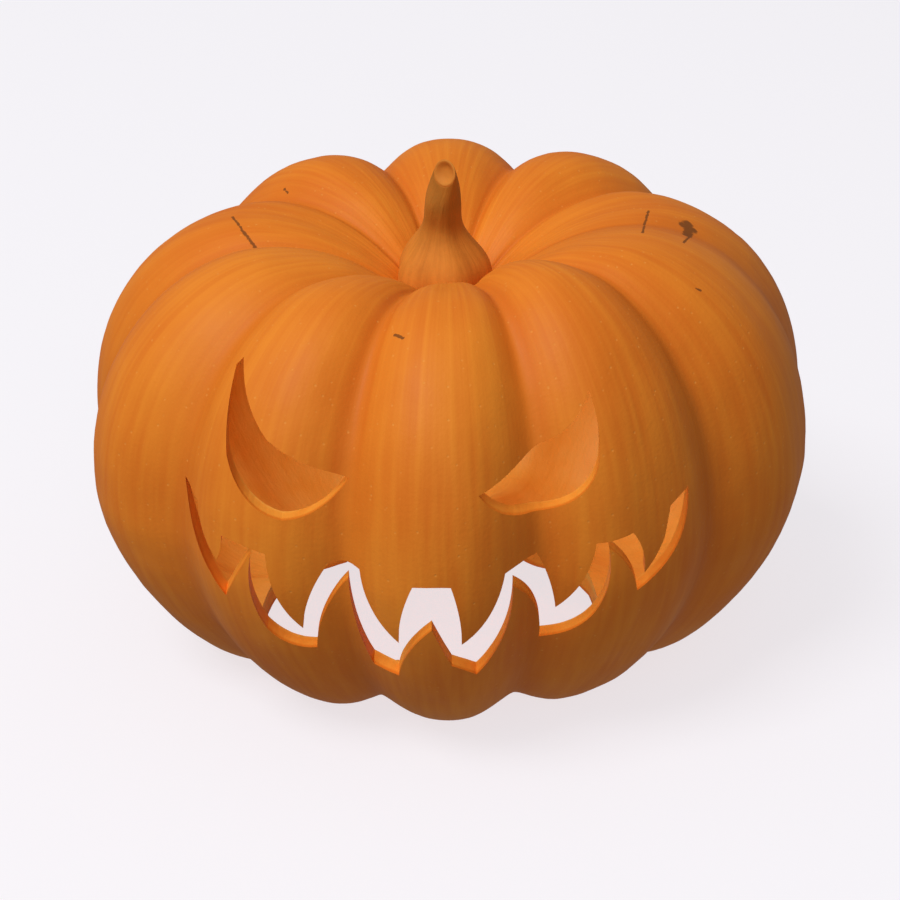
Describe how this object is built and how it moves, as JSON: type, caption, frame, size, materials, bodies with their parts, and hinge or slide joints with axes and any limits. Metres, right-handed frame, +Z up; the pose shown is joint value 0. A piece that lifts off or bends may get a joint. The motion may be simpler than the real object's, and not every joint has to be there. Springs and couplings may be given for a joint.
{
  "type": "carved pumpkin lantern",
  "caption": "Hollow ribbed pumpkin with its stem, a scowling face and a jagged grin carved through the front wall, and an opening in the base for a light.",
  "frame": {"origin": "on the ground, under the middle of the pumpkin's bounding box", "axes": "+Z up along the pumpkin's axis towards the stem, the carved face looks along -Y, and +X is to the viewer's right"},
  "size_m": [0.294, 0.2865, 0.2035],
  "materials": {
    "rind": "satin waxy skin, deep orange",
    "flesh": "matt cut flesh, paler and yellower orange",
    "stem": "dry corky ribbed stem, dull orange-brown"
  },
  "bodies": {
    "root": {"pumpkin": "rind"}
  },
  "joints": []
}
